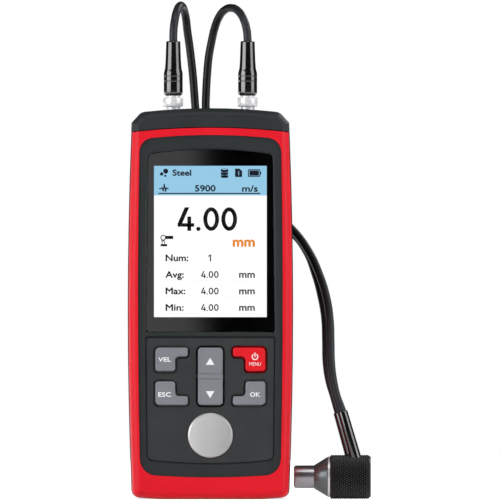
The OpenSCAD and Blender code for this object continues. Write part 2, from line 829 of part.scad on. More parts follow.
front_case();
front_bumper();
rear_case();
top_cap();
battery_door();
case_screws();
display_window();
lcd_panel();
key_panel();
vel_key();
esc_key();
menu_key();
ok_key();
rocker_key();
calibration_disc();
keypad_mat();
main_board();
board_screws();
battery_1();
battery_2();
battery_3();
battery_springs();
battery_plates();
socket_left();
socket_right();
socket_nut_left();
socket_nut_right();
lead_left();
lead_right();
plug_left();
plug_right();
release_sleeve_left();
release_sleeve_right();
plug_boot_left();
plug_boot_right();
cord_left();
cord_right();
probe_boot();
probe_cap();
probe_body();
delay_block_send();
delay_block_receive();
acoustic_barrier();
crystal_send();
crystal_receive();
probe_backing();
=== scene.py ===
import json
import math

import bmesh
import bpy
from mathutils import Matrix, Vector, geometry

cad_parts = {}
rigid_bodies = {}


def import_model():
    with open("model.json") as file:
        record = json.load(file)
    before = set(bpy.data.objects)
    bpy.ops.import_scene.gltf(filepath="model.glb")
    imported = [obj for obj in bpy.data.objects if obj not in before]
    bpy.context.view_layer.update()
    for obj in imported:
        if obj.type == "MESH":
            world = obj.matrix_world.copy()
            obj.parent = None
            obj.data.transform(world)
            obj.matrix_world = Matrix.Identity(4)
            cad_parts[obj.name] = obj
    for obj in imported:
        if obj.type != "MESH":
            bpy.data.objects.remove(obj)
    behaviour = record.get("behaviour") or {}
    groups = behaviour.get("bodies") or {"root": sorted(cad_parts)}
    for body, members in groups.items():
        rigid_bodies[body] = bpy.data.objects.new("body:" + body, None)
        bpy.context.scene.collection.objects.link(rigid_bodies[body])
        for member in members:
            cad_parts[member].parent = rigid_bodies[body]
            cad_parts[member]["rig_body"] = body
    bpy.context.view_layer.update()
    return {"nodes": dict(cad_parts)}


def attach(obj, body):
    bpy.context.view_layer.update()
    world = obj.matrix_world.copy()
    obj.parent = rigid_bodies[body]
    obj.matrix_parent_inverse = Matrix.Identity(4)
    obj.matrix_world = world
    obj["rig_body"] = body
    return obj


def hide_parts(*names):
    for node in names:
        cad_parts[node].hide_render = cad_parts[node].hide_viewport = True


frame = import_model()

# The pieces are measured in millimetres; the camera, the materials and the stage in metres
MM = 0.001
PROBE_R = 8.45
scene = bpy.context.scene
nodes = frame["nodes"]

# Camera: level, in front of the keys, with a very long lens
VIEW_WIDTH = 0.191
VIEW_CENTRE = (0.01511, 0.0951)
CAMERA_AWAY = 8.0
SENSOR_WIDTH = 36


def add_object(name, data):
    obj = bpy.data.objects.new(name, data)
    scene.collection.objects.link(obj)
    return obj


camera_data = bpy.data.cameras.new("camera")
camera_data.sensor_width = SENSOR_WIDTH
camera_data.lens = SENSOR_WIDTH * CAMERA_AWAY / VIEW_WIDTH
camera_data.clip_start = 0.05
camera_data.clip_end = 50
camera = add_object("camera", camera_data)
camera.location = (VIEW_CENTRE[0], -CAMERA_AWAY, VIEW_CENTRE[1])
camera.rotation_euler = (math.pi / 2, 0, 0)
scene.camera = camera

# Leads: the routes of the CAD model
CORD_R = 1.55
LENGTH_STEPS = 24
LEFT_ROUTE = [
    (-14.2, 0, 169), (-14.2, 0, 174.8), (-14.1, 0.5, 179), (-13.6, 1.9, 183.1), (-12.8, 5, 186.6),
    (-11.8, 8.9, 188.4), (-10.9, 13.2, 188.4), (-10.1, 17.1, 186.7), (-9.4, 20.2, 183.5), (-8.9, 21.8, 179.1),
    (-8.1, 22.4, 173.5), (-7.3, 22.3, 167), (-6.6, 21.8, 160), (-6, 21, 152), (-5.2, 20.4, 143),
    (-3.4, 20.1, 135), (-0.2, 20, 127), (5, 20, 119.4), (12, 20.1, 112.6), (20.4, 20.2, 107.2),
    (31.2, 20.3, 101.6), (36.6, 18.2, 94.8), (40.1, 15.4, 86), (42.5, 12.4, 77), (43.9, 9.3, 68.5),
    (44.2, 6.7, 60.5), (44.4, 4.5, 52), (45.4, 2.9, 45.2), (47.1, 1.9, 39.4), (48.7, 1.5, 33.7),
    (50.8, 1.5, 26.5),
]
RIGHT_ROUTE = [
    (14.2, 0, 169), (14.2, 0, 174.8), (13.8, 0.7, 179.4), (12.6, 2.9, 183.4), (10.5, 6.7, 186.5),
    (7.9, 10.9, 187.7), (5.3, 15, 186.8), (3.1, 18.7, 184), (1.5, 21.2, 179.8), (0.4, 22.5, 175),
    (-0.7, 22.8, 169), (-1.3, 22.6, 162.5), (-1.7, 22.1, 155.5), (-1.8, 21.4, 148.5), (-0.9, 20.4, 140),
    (1.4, 19.4, 132.5), (5.4, 18.6, 125.6), (10.9, 18, 119.4), (17.4, 17.5, 113.9), (24.7, 17.2, 108.7),
    (32, 16.8, 102.2), (37.4, 14.9, 94.8), (41.5, 12.3, 86), (44.3, 9.5, 77), (45.6, 6.4, 68.5),
    (45.9, 3.8, 60.5), (46.1, 1.5, 52), (46.9, -0.1, 45.2), (48.2, -1.2, 39.4), (50.1, -1.5, 34.2),
    (52.2, -1.5, 27),
]


def make_cord(name, node, route):
    curve = bpy.data.curves.new(name, "CURVE")
    curve.dimensions = "3D"
    curve.bevel_depth = 1  # times each point's radius, which Blender also adds to the curve's box
    curve.bevel_resolution = 6
    curve.resolution_u = 10
    curve.use_fill_caps = True
    spline = curve.splines.new("BEZIER")
    spline.bezier_points.add(len(route) - 1)
    for point, place in zip(spline.bezier_points, route):
        point.co = Vector(place) * MM
        point.radius = CORD_R * MM
        point.handle_left_type = "AUTO"
        point.handle_right_type = "AUTO"
    cord = add_object(name, curve)
    bpy.context.view_layer.update()
    for a, b in zip(spline.bezier_points[:-1], spline.bezier_points[1:]):
        steps = geometry.interpolate_bezier(a.co, a.handle_right, b.handle_left, b.co, LENGTH_STEPS)
    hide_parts(node)
    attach(cord, "gauge")
    return cord


cord_left = make_cord("left_lead", "cord_left", LEFT_ROUTE)
cord_right = make_cord("right_lead", "cord_right", RIGHT_ROUTE)

# Materials: fields over the object, then the surfaces
NOISE_LOW, NOISE_HIGH = 0.3, 0.7
LEAST_ROUGH = 0.02
GRAIN_HEIGHT = 0.00006
GRAIN_DETAIL = 2.0


def object_place(tree):
    return tree.nodes.new("ShaderNodeTexCoord").outputs["Object"]


def vector_math(tree, operation, value, by=None, result="Vector"):
    node = tree.nodes.new("ShaderNodeVectorMath")
    node.operation = operation
    tree.links.new(value, node.inputs[0])
    if by is not None:
        node.inputs[1].default_value = by
    return node.outputs[result]


def remap(tree, value, low, high, start=NOISE_LOW, end=NOISE_HIGH):
    node = tree.nodes.new("ShaderNodeMapRange")
    node.inputs["From Min"].default_value = start
    node.inputs["From Max"].default_value = end
    node.inputs["To Min"].default_value = low
    node.inputs["To Max"].default_value = high
    tree.links.new(value, node.inputs["Value"])
    return node.outputs["Result"]


def noise(tree, scale, detail=3.0, stretch=(1, 1, 1)):
    mapping = tree.nodes.new("ShaderNodeMapping")
    mapping.inputs["Scale"].default_value = stretch
    made = tree.nodes.new("ShaderNodeTexNoise")
    made.inputs["Scale"].default_value = scale
    made.inputs["Detail"].default_value = detail
    tree.links.new(object_place(tree), mapping.inputs["Vector"])
    tree.links.new(mapping.outputs["Vector"], made.inputs["Vector"])
    return made.outputs["Fac"]


def along(tree, start, end):
    """How far a place lies on the way from one point to another, in metres of the object: 0 to 1."""
    way = Vector(end) - Vector(start)
    offset = vector_math(tree, "SUBTRACT", object_place(tree), start)
    return vector_math(tree, "DOT_PRODUCT", offset, way / way.length_squared, "Value")


def outward(tree, centre, low, high):
    """How far a place lies between two distances from an axis along X, in metres of the object: 0 to 1."""
    offset = vector_math(tree, "SUBTRACT", object_place(tree), centre)
    across = vector_math(tree, "MULTIPLY", offset, (0, 1, 1))
    return remap(tree, vector_math(tree, "LENGTH", across, result="Value"), 0, 1, low, high)


def material(name, colour, rough, metal=0.0, mottle=0.08, mottle_scale=90, grain=0.0, grain_scale=2500,
             stretch=(1, 1, 1), rough_spread=0.05, shine=0.2, glow=0.0, clear=False, painted_shading_and_wear=None):
    """A surface whose colour and gloss vary a little with place, with a fine grain if asked for.

    The argument for painted shading is a field, what it takes, and the share of the colour where the field is
    1: it paints shade and highlights into the colour, and on the knurl also wear.
    """
    mat = bpy.data.materials.new(name)
    mat.use_nodes = True
    tree = mat.node_tree
    shader = tree.nodes["Principled BSDF"]
    field = noise(tree, mottle_scale, stretch=stretch)
    blend = tree.nodes.new("ShaderNodeMix")
    blend.data_type = "RGBA"
    blend.inputs["A"].default_value = [c * (1 - mottle) for c in colour] + [1]
    blend.inputs["B"].default_value = [c * (1 + mottle) for c in colour] + [1]
    tree.links.new(remap(tree, field, 0, 1), blend.inputs["Factor"])
    tint = blend.outputs["Result"]
    if painted_shading_and_wear:
        way, places, share = painted_shading_and_wear
        dim = tree.nodes.new("ShaderNodeMix")
        dim.data_type = "RGBA"
        dim.blend_type = "MULTIPLY"
        dim.inputs["B"].default_value = (share, share, share, 1)
        tree.links.new(remap(tree, way(tree, *places), 0, 1, 0, 1), dim.inputs["Factor"])
        tree.links.new(tint, dim.inputs["A"])
        tint = dim.outputs["Result"]
    if glow:
        shader.inputs["Base Color"].default_value = (0.01, 0.01, 0.01, 1)
        shader.inputs["Emission Strength"].default_value = glow
        tree.links.new(tint, shader.inputs["Emission Color"])
    else:
        tree.links.new(tint, shader.inputs["Base Color"])
    gloss = remap(tree, field, max(LEAST_ROUGH, rough - rough_spread), rough + rough_spread)
    tree.links.new(gloss, shader.inputs["Roughness"])
    shader.inputs["Metallic"].default_value = metal
    shader.inputs["Specular IOR Level"].default_value = shine
    if clear:
        shader.inputs["Transmission Weight"].default_value = 1
        shader.inputs["IOR"].default_value = 1
    if grain:
        bump = tree.nodes.new("ShaderNodeBump")
        bump.inputs["Strength"].default_value = grain
        bump.inputs["Distance"].default_value = GRAIN_HEIGHT
        tree.links.new(noise(tree, grain_scale, GRAIN_DETAIL, stretch), bump.inputs["Height"])
        tree.links.new(bump.outputs["Normal"], shader.inputs["Normal"])
    return mat


def lit(name, colour, mottle, mottle_scale=90, glow=1):
    """A colour of the lit screen."""
    return material(name, colour, 0.3, mottle=mottle, mottle_scale=mottle_scale, shine=0, glow=glow)


TURNED_STEEL = {"grain": 0.08, "grain_scale": 3000, "stretch": (1, 0.02, 0.02), "mottle": 0.05}
# Painted sheen: the steel disc's colour is lighter at its upper left and darker towards its lower right, as
# the light falls on it
DISC_PAINTED_SHEEN = (along, ((-0.008, 0, 0.026), (0.007, 0, 0.0235)), 0.62)
# Painted shade: the leads' colour falls to about an eighth where they run behind the case
CORD_PAINTED_SHADE = (along, ((0, 0.002, 0), (0, 0.012, 0)), 0.12)
# The knurl's peaks are painted thirteen times lighter than its grooves: partly worn anodising, partly painted
# highlight
KNURL_WEAR_AND_HIGHLIGHT = (outward, ((0, 0, PROBE_R * MM), 0.0082, 0.00843), 13)
MAT = {
    "case": material("case_plastic", (0.0215, 0.0252, 0.027), 0.5, grain=0.2),
    "bumper": material("bumper_rubber", (0.75, 0.0095, 0.022), 0.4, grain=0.1, mottle=0.03, shine=0.16),
    "panel": material("panel_plastic", (0.033, 0.0355, 0.037), 0.5, grain=0.2),
    "key": material("key_plastic", (0.212, 0.224, 0.246), 0.5, grain=0.1, mottle=0.03),
    "red_key": material("red_key_plastic", (0.74, 0.009, 0.018), 0.45, grain=0.1, mottle=0.03),
    "legend": material("legend_paint", (0.88, 0.89, 0.90), 0.5, mottle=0.02, shine=0.1),
    "glass": material("window_glass", (1, 1, 1), 0.03, mottle=0.0, rough_spread=0.01, shine=0, clear=True),
    "print": material("window_print", (0.0004, 0.0004, 0.0004), 0.02, mottle=0.2, rough_spread=0, shine=0.5),
    "disc": material("disc_steel", (0.69, 0.69, 0.69), 0.36, metal=0.55, grain=0.15, grain_scale=1600,
                     stretch=(1, 1, 0.06), mottle=0.03, painted_shading_and_wear=DISC_PAINTED_SHEEN),
    "tip": material("tip_steel", (0.27, 0.275, 0.29), 0.34, metal=1, **TURNED_STEEL),
    "steel": material("probe_steel", (0.11, 0.125, 0.128), 0.3, metal=0.6, **TURNED_STEEL),
    "bright": material("bright_plating", (0.82, 0.82, 0.84), 0.3, metal=0.15, mottle=0.02, shine=0.5),
    "ring": material("ring_plating", (0.66, 0.67, 0.68), 0.42, metal=0.5, mottle=0.03, shine=0.4),
    "plated": material("plated_steel", (0.45, 0.45, 0.46), 0.3, metal=1),
    "brass": material("nut_brass", (0.70, 0.52, 0.22), 0.3, metal=1),
    "boot": material("boot_rubber", (0.003, 0.003, 0.0035), 0.13, mottle=0.1, rough_spread=0.02, shine=1),
    "cord": material("cord_jacket", (0.022, 0.024, 0.028), 0.4, grain=0.05, mottle=0.15, shine=0.22,
                     painted_shading_and_wear=CORD_PAINTED_SHADE),
    "knurl": material("black_anodised", (0.0075, 0.0075, 0.008), 0.5, mottle=0.1, painted_shading_and_wear=KNURL_WEAR_AND_HIGHLIGHT),
    "resin": material("delay_resin", (0.33, 0.32, 0.30), 0.25, mottle=0.06, shine=0.5),
    "barrier": material("barrier_cork", (0.03, 0.028, 0.025), 0.8, mottle=0.3, mottle_scale=1500),
    "ceramic": material("crystal_ceramic", (0.50, 0.45, 0.30), 0.5, mottle=0.06),
    "potting": material("potting_resin", (0.06, 0.06, 0.06), 0.5, mottle=0.1),
    "board": material("board_mask", (0.015, 0.10, 0.04), 0.35, mottle=0.2, mottle_scale=400),
    "silicone": material("keypad_silicone", (0.08, 0.08, 0.085), 0.6, mottle=0.06),
    "cell": material("cell_wrap", (0.05, 0.06, 0.08), 0.3, mottle=0.1),
    "lcd": material("lcd_frame", (0.35, 0.36, 0.37), 0.3, metal=0.6, mottle=0.05),
    "page": lit("screen_page", (0.98, 0.99, 0.99), 0.006, 300, 1.02),
    "header": lit("screen_header", (0.296, 0.586, 0.79), 0.012, 300),
    "ink": lit("screen_ink", (0.001, 0.001, 0.0015), 0.1),
    "navy": lit("screen_navy", (0.004, 0.006, 0.018), 0.1),
    "rule": lit("screen_rule", (0.82, 0.84, 0.86), 0.03),
    "amber": lit("screen_amber", (0.77, 0.235, 0.012), 0.05),
}

# Making of pieces; angles are in degrees
EDGE_ANGLE = 30
EDGE_SEGMENTS = 3
FLAT_ANGLE = 0.3
MERGE_METRES = 2e-6
LEAST_CREASE = 0.01


def paint(obj, key):
    obj.data.materials.clear()
    obj.data.materials.append(MAT[key])


def paint_nodes(key, *names):
    for name in names:
        paint(nodes[name], key)


def soften(mesh, angle):
    mesh.shade_smooth()
    mesh.set_sharp_from_angle(angle=math.radians(angle))


def settle(obj, key, node, stands_for):
    paint(obj, key)
    if stands_for:
        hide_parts(node)
    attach(obj, nodes[node]["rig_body"])


def refine(node, key, bevel=0.0):
    """A copy of a CAD node with clean faces and, if asked for, rounded edges."""
    bm = bmesh.new()
    bm.from_mesh(nodes[node].data)
    bmesh.ops.remove_doubles(bm, verts=bm.verts, dist=MERGE_METRES)
    bmesh.ops.dissolve_limit(bm, angle_limit=math.radians(FLAT_ANGLE), verts=bm.verts, edges=bm.edges)
    mesh = bpy.data.meshes.new(node + "_fine")
    bm.to_mesh(mesh)
    bm.free()
    soften(mesh, EDGE_ANGLE)
    obj = add_object(node + "_fine", mesh)
    if bevel:
        soft = obj.modifiers.new("edges", "BEVEL")
        soft.width = bevel * MM
        soft.segments = EDGE_SEGMENTS
        soft.limit_method = "ANGLE"
        soft.angle_limit = math.radians(EDGE_ANGLE)
    obj.modifiers.new("normals", "WEIGHTED_NORMAL").keep_sharp = True
    settle(obj, key, node, True)


def mesh_piece(name, verts, faces, key, node, smooth=35, stands_for=True):
    mesh = bpy.data.meshes.new(name)
    mesh.from_pydata([Vector(v) * MM for v in verts], [], faces)
    mesh.validate()
    bm = bmesh.new()
    bm.from_mesh(mesh)
    bmesh.ops.recalc_face_normals(bm, faces=bm.faces)
    bm.to_mesh(mesh)
    bm.free()
    if smooth:
        soften(mesh, smooth)
    settle(add_object(name, mesh), key, node, stands_for)


def joined(shapes):
    """Vertices and faces of several shapes as one."""
    verts, faces = [], []
    for more, skin in shapes:
        faces += [[len(verts) + i for i in face] for face in skin]
        verts += more
    return verts, faces


def turned(profile, spot, steps=96):
    """Vertices and faces of a turned shape.

    The profile is a closed loop of radius and place along the axis; two radii alternate round the axis.
    spot gives the point for a place along the axis and two distances across it.
    """
    verts, faces, first, radii = [], [], [], []
    for r, t in profile:
        pair = r if isinstance(r, tuple) else (r, r)
        first.append(len(verts))
        radii.append(pair)
        for i in range(steps if pair[0] else 1):
            a = 2 * math.pi * i / steps
            verts.append(spot(t, pair[i % 2] * math.cos(a), pair[i % 2] * math.sin(a)))

    def corner(k, i):
        return first[k] + (i % steps if radii[k][0] else 0)

    for k in range(len(profile)):
        n = (k + 1) % len(profile)
        for i in range(steps):
            face = [corner(k, i), corner(k, i + 1), corner(n, i + 1), corner(n, i)]
            here, there = radii[k], radii[n]
            rise = here[i % 2] - here[(i + 1) % 2] + there[(i + 1) % 2] - there[i % 2]
            if rise > LEAST_CREASE:
                faces += [[face[0], face[1], face[3]], [face[1], face[2], face[3]]]
            elif rise < -LEAST_CREASE:
                faces += [face[:3], [face[0], face[2], face[3]]]
            else:
                face = list(dict.fromkeys(face))
                if len(face) > 2:
                    faces.append(face)
    return verts, faces


class Print:
    """Thin flat shapes of one colour on the front of one node, in millimetres across and up."""

    THICK = 0.03
    BOLD_STEP = 0.004
    OVAL_STEPS = 24
    RING_STEPS = 32

    def __init__(self, name, key, node, y):
        self.name, self.key, self.node, self.y = name, key, node, y
        self.verts, self.faces = [], []

    def plate(self, outline):
        n, first = len(outline), len(self.verts)
        self.verts += [(x, self.y - self.THICK, z) for x, z in outline]
        self.verts += [(x, self.y, z) for x, z in outline]
        self.faces.append([first + i for i in range(n)])
        self.faces.append([first + n + i for i in reversed(range(n))])
        for i in range(n):
            j = (i + 1) % n
            self.faces.append([first + i, first + n + i, first + n + j, first + j])

    def bar(self, x0, x1, z0, z1):
        self.plate([(x0, z0), (x1, z0), (x1, z1), (x0, z1)])

    def oval(self, x, z, rx, rz):
        turns = [2 * math.pi * i / self.OVAL_STEPS for i in range(self.OVAL_STEPS)]
        self.plate([(x + rx * math.cos(a), z + rz * math.sin(a)) for a in turns])

    def dot(self, x, z, r):
        self.oval(x, z, r, r)

    def ring(self, x, z, rx, rz, stroke, start=0, end=360):
        n = self.RING_STEPS
        turns = [math.radians(start + (end - start) * i / n) for i in range(n + 1)]
        outer = [(x + rx * math.cos(a), z + rz * math.sin(a)) for a in turns]
        inner = [(x + (rx - stroke) * math.cos(a), z + (rz - stroke) * math.sin(a)) for a in turns]
        for i in range(n):
            self.plate([inner[i], outer[i], outer[i + 1], inner[i + 1]])

    def line(self, points, width):
        for (ax, az), (bx, bz) in zip(points[:-1], points[1:]):
            far = math.hypot(bx - ax, bz - az)
            ox, oz = -(bz - az) / far * width / 2, (bx - ax) / far * width / 2
            self.plate([(ax - ox, az - oz), (bx - ox, bz - oz), (bx + ox, bz + oz), (ax + ox, az + oz)])

    def reading(self, x0, x1, z0, z1):
        """The figures 4.00 in round strokes, filling a box."""
        w, h = x1 - x0, z1 - z0
        self.plate([(x0 + 0.120 * w, z1), (x0, z0 + 0.31 * h), (x0 + 0.076 * w, z0 + 0.31 * h),
                    (x0 + 0.196 * w, z1)])
        self.bar(x0, x0 + 0.278 * w, z0 + 0.176 * h, z0 + 0.324 * h)
        self.bar(x0 + 0.163 * w, x0 + 0.228 * w, z0, z0 + 0.605 * h)
        self.dot(x0 + 0.349 * w, z0 + 0.033 * w, 0.036 * w)
        for middle in (0.564, 0.867):
            self.ring(x0 + middle * w, (z0 + z1) / 2, 0.133 * w, h / 2, 0.068 * w)

    def words(self, text, x0, x1, z0, z1, bold=0.0):
        """Text whose ink fills the box, drawn again at the distance bold to each side if that is given."""
        curve = bpy.data.curves.new(self.name + "_text", "FONT")
        curve.body = text
        curve.extrude = 0.01
        curve.resolution_u = 4
        obj = add_object(self.name + "_text", curve)
        bpy.context.view_layer.update()
        mesh = obj.to_mesh()
        places = [v.co.copy() for v in mesh.vertices]
        low = [min(p[i] for p in places) for i in (0, 1)]
        high = [max(p[i] for p in places) for i in (0, 1)]
        wide = (x1 - x0 - 2 * bold) / (high[0] - low[0])
        tall = (z1 - z0 - 2 * bold) / (high[1] - low[1])
        shifts = [(-bold, 0), (bold, 0), (0, -bold), (0, bold)] if bold else [(0, 0)]
        for layer, (right, up) in enumerate(shifts):
            first = len(self.verts)
            top = self.y - self.THICK - self.BOLD_STEP * layer
            for p in places:
                self.verts.append((
                    x0 + bold + right + wide * (p.x - low[0]),
                    top if p.z > 0 else self.y,
                    z0 + bold + up + tall * (p.y - low[1]),
                ))
            self.faces += [[first + i for i in face.vertices] for face in mesh.polygons]
        obj.to_mesh_clear()
        bpy.data.objects.remove(obj)
        bpy.data.curves.remove(curve)

    def done(self):
        mesh_piece(self.name, self.verts, self.faces, self.key, self.node, smooth=0, stands_for=False)


# Case and keys, with the width of their rounded edges
for name, key, edge in (
    ("front_case", "case", 0.3), ("front_bumper", "bumper", 0.25), ("rear_case", "case", 0.3),
    ("top_cap", "case", 0.3), ("battery_door", "case", 0.2), ("key_panel", "panel", 0.35),
    ("vel_key", "key", 0), ("esc_key", "key", 0), ("ok_key", "key", 0), ("rocker_key", "key", 0),
    ("menu_key", "red_key", 0), ("calibration_disc", "disc", 0.12),
):
    refine(name, key, edge)

# Legends of the keys, with the box that each word fills
KEY_Y = -14.7
LEGEND_BOLD = 0.07
POWER_X, POWER_Z, POWER_R = 17, 54.4, 1.25
POWER_STROKE = 0.36
ARROW_X, ARROW_HALF = -0.1, 1.65
for name, word, box in (
    ("vel", "VEL", (-19.9, -15, 52.5, 54.2)),
    ("esc", "ESC", (-19.9, -15, 39.1, 40.9)),
    ("ok", "OK", (15.1, 19, 39.1, 40.9)),
):
    legend = Print(name + "_legend", "legend", name + "_key", KEY_Y)
    legend.words(word, *box, LEGEND_BOLD)
    legend.done()
legend = Print("menu_legend", "legend", "menu_key", KEY_Y)
legend.words("MENU", 14.85, 19.25, 50.95, 52.3)
legend.ring(POWER_X, POWER_Z, POWER_R, POWER_R, POWER_STROKE, 118, 422)
legend.bar(POWER_X - 0.17, POWER_X + 0.17, POWER_Z - 0.1, POWER_Z + 1.6)
legend.done()
legend = Print("rocker_legend", "legend", "rocker_key", KEY_Y)
for base, point in ((51.3, 54), (41.3, 38.6)):
    legend.plate([(ARROW_X - ARROW_HALF, base), (ARROW_X + ARROW_HALF, base), (ARROW_X, point)])
legend.done()

# Window: clear plate with a black border printed on its back, and the lit picture behind it
SCREEN = (-21.7, 21.5, 69.5, 127.2)
WINDOW_BACK = -12.1
BORDER_GAP = 0.05
BORDER_INSET = 0.2
BORDER_STEPS = 240
NEARLY_ZERO = 1e-9
SHARE_SLACK = 1e-6


def farthest_crossing(loop, c, s):
    """How far from the middle a closed loop is crossed last, going in the direction c, s."""
    farthest = 0.0
    for (ax, az), (bx, bz) in zip(loop, loop[1:] + loop[:1]):
        across = c * (bz - az) - s * (bx - ax)
        if abs(across) < NEARLY_ZERO:
            continue
        far = (ax * (bz - az) - az * (bx - ax)) / across
        share = (ax * s - az * c) / across
        if far > 0 and -SHARE_SLACK <= share <= 1 + SHARE_SLACK:
            farthest = max(farthest, far)
    return farthest


def window_border():
    """A flat frame from the edge of the lit picture to just inside the window's edge."""
    middle = (SCREEN[2] + SCREEN[3]) / 2
    half_w, half_h = SCREEN[1], (SCREEN[3] - SCREEN[2]) / 2
    edge = {(round(v.co.x / MM, 3), round(v.co.z / MM, 3)) for v in nodes["display_window"].data.vertices}
    edge = sorted(((x, z - middle) for x, z in edge), key=lambda p: math.atan2(p[1], p[0]))
    turns = [2 * math.pi * i / BORDER_STEPS for i in range(BORDER_STEPS)]
    turns += [math.atan2(s * half_h, t * half_w) % (2 * math.pi) for s in (-1, 1) for t in (-1, 1)]
    verts = []
    for a in sorted(turns):
        c, s = math.cos(a), math.sin(a)
        inner = min(half_w / max(abs(c), NEARLY_ZERO), half_h / max(abs(s), NEARLY_ZERO))
        outer = farthest_crossing(edge, c, s) - BORDER_INSET
        verts += [(r * c, WINDOW_BACK - BORDER_GAP, middle + r * s) for r in (inner, outer)]
    n = len(turns)
    faces = [(2 * i, 2 * ((i + 1) % n), 2 * ((i + 1) % n) + 1, 2 * i + 1) for i in range(n)]
    return verts, faces


refine("display_window", "glass", 0.12)
mesh_piece("window_border", *window_border(), "print", "display_window", smooth=0, stands_for=False)

# Picture on the screen, in layers from its page to the front
PAGE_Y = -11.12
LAYER = 0.04
HEAD_LOW = 115.9
SMALL_BOLD = 0.11
DRUM_X, DRUM_R = 5.4, 1.4
PULSE = [(-19.6, 118.5), (-18.8, 118.5), (-18.4, 119), (-18, 117.5), (-17.6, 120.3), (-17.1, 117.3),
         (-16.8, 119), (-16.5, 118.5), (-15.9, 118.5)]
CARD_SIGN = [(9.4, 122.95), (12.1, 122.95), (12.1, 125.2), (11.1, 126.15), (9.4, 126.15)]
CELL_FRAME = [(14.5, 123.2), (18.9, 123.2), (18.9, 125.7), (14.5, 125.7), (14.5, 123.2)]

page = Print("screen_page", "page", "lcd_panel", PAGE_Y)
page.bar(*SCREEN)
page.done()

head = Print("screen_head", "header", "lcd_panel", PAGE_Y - LAYER)
head.bar(SCREEN[0], SCREEN[1], HEAD_LOW, SCREEN[3])
head.done()

navy = Print("screen_head_ink", "navy", "lcd_panel", PAGE_Y - 2 * LAYER)
for x, z, r in ((-17.05, 125.2, 0.95), (-18.6, 124.1, 0.65), (-17.2, 123.4, 0.43)):
    navy.dot(x, z, r)
navy.words("Steel", -14.5, -7.3, 123.35, 125.8, 0.12)
navy.words("5900", -5.95, 2, 117.35, 119.9, SMALL_BOLD)
navy.words("m/s", 12.05, 18.1, 117.25, 119.85, SMALL_BOLD)
navy.bar(-19.9, 19, 116.45, 116.9)
navy.line(PULSE, 0.42)
for z in (122.9, 124, 125.1):
    navy.bar(DRUM_X - DRUM_R, DRUM_X + DRUM_R, z, z + 0.72)
    navy.oval(DRUM_X, z, DRUM_R, 0.32)
navy.oval(DRUM_X, 125.8, DRUM_R, 0.4)
navy.plate(CARD_SIGN)
navy.bar(14.9, 18.5, 123.5, 125.4)
navy.bar(19.05, 19.4, 124, 124.9)
navy.line(CELL_FRAME, 0.36)
navy.done()

pale = Print("screen_head_pale", "header", "lcd_panel", PAGE_Y - 3 * LAYER)
pale.oval(DRUM_X, 125.85, 1, 0.2)
pale.bar(10.7, 10.95, 123.6, 125.2)
pale.done()

ink = Print("screen_ink", "ink", "lcd_panel", PAGE_Y - LAYER)
ink.reading(-12.5, 10.2, 102.4, 111.4)
for word, box in (
    ("Num:", (-17.1, -8.4, 90.75, 93.45)),
    ("Avg:", (-17.2, -10.1, 83.65, 87.05)),
    ("Max:", (-17.1, -9.5, 78.15, 80.8)),
    ("Min:", (-17.1, -10.2, 71.85, 74.5)),
):
    ink.words(word, *box, SMALL_BOLD)
# The count, 1
ink.bar(-0.2, 0.26, 90.8, 93.4)
ink.line([(-0.8, 92.65), (0.1, 93.2)], 0.42)
for z in (84.45, 78.15, 71.85):
    ink.reading(-3.55, 3.15, z, z + 2.62)
    ink.words("mm", 10.95, 16.95, z, z + 1.95, 0.1)
# Sign of a probe on a plate
ink.ring(-18, 99.8, 1.05, 1.1, 0.36)
ink.bar(-17.1, -14.2, 99.3, 100.5)
ink.bar(-18.8, -17.2, 98.4, 98.7)
ink.bar(-19, -16.5, 96.5, 97.4)
for x in (-18.5, -17.6):
    ink.line([(x, 97.5), (x + 0.2, 98.3)], 0.3)
ink.done()

rule = Print("screen_rules", "rule", "lcd_panel", PAGE_Y - LAYER)
for z in (89.85, 83.45, 77.35, 70.85):
    rule.bar(-17.5, 17.8, z - 0.06, z + 0.06)
rule.done()

amber = Print("screen_amber", "amber", "lcd_panel", PAGE_Y - LAYER)
amber.words("mm", 8.5, 17, 96.25, 99.1, 0.2)
amber.done()

# Sockets, plugs and leads; a profile is a list of radius and height
PLUG_X = 14.2
PLUG_Z = 139.8
PLUG_R = 2.6
PLUG_CHAMFER = 0.3
STEM_R, STEM_H = 2.3, 4.3
SLEEVE_Z, SLEEVE_H = 149.85, 3.5
SLEEVE_BORE = 2.65
SLEEVE_EDGE = [(3.4, 0), (3.65, 0.12), (3.75, 0.35)]
BOOT_Z = 154
BOOT_R = 3.61
BOOT_FOOT_H, BOOT_FOOT_STEPS = 1.4, 8
BOOT_GROOVES = (5.3, 7.25)
GROOVE = [(-0.35, 0), (-0.2, 0.015), (0, 0.03), (0.2, 0.015), (0.35, 0)]
SHOULDER_Z, SHOULDER_H, SHOULDER_DROP = 8.1, 3.2, 0.52
SHOULDER_STEPS = 16
BOOT_TOP = [(2.92, 13.8), (2.7, 20.5), (2.58, 20.8), (2.35, 20.9), (1.6, 20.9), (1.6, STEM_H),
            (STEM_R, STEM_H)]


def plug_profile():
    return [(0, PLUG_Z), (PLUG_R - PLUG_CHAMFER, PLUG_Z), (PLUG_R, PLUG_Z + PLUG_CHAMFER), (PLUG_R, BOOT_Z),
            (STEM_R, BOOT_Z), (STEM_R, BOOT_Z + STEM_H), (0, BOOT_Z + STEM_H)]


def sleeve_profile():
    upper_edge = [(r, SLEEVE_H - t) for r, t in reversed(SLEEVE_EDGE)]
    profile = [(SLEEVE_BORE, 0)] + SLEEVE_EDGE + upper_edge + [(SLEEVE_BORE, SLEEVE_H)]
    return [(r, SLEEVE_Z + t) for r, t in profile]


